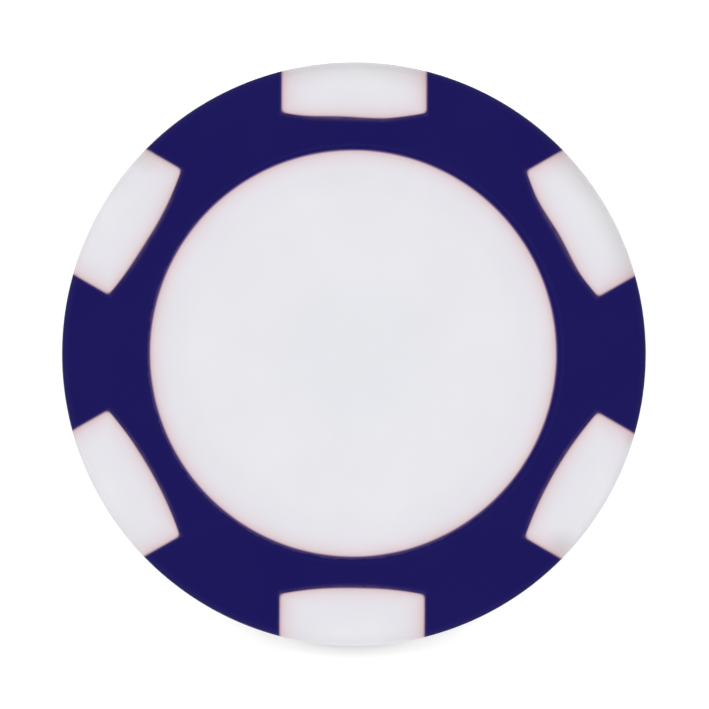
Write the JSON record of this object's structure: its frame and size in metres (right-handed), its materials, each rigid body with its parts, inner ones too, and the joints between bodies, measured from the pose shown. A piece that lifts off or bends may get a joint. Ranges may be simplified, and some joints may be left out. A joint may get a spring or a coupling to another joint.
{
  "type": "poker chip",
  "caption": "Flat round gaming chip with a recessed white centre, a blue band and white edge spots that run over the rim, moulded in layers round a steel slug.",
  "frame": {"origin": "centre of the lower face, on the surface that the chip lies on", "axes": "+Z along the chip's axis, out of the upper face; +Y towards the middle of one white edge spot"},
  "size_m": [0.04, 0.04, 0.0033],
  "materials": {
    "slug_steel": "satin",
    "white_abs": "satin",
    "blue_abs": "satin"
  },
  "bodies": {
    "root": {"steel_slug": "slug_steel", "white_core": "white_abs", "blue_ring": "blue_abs"}
  },
  "joints": []
}
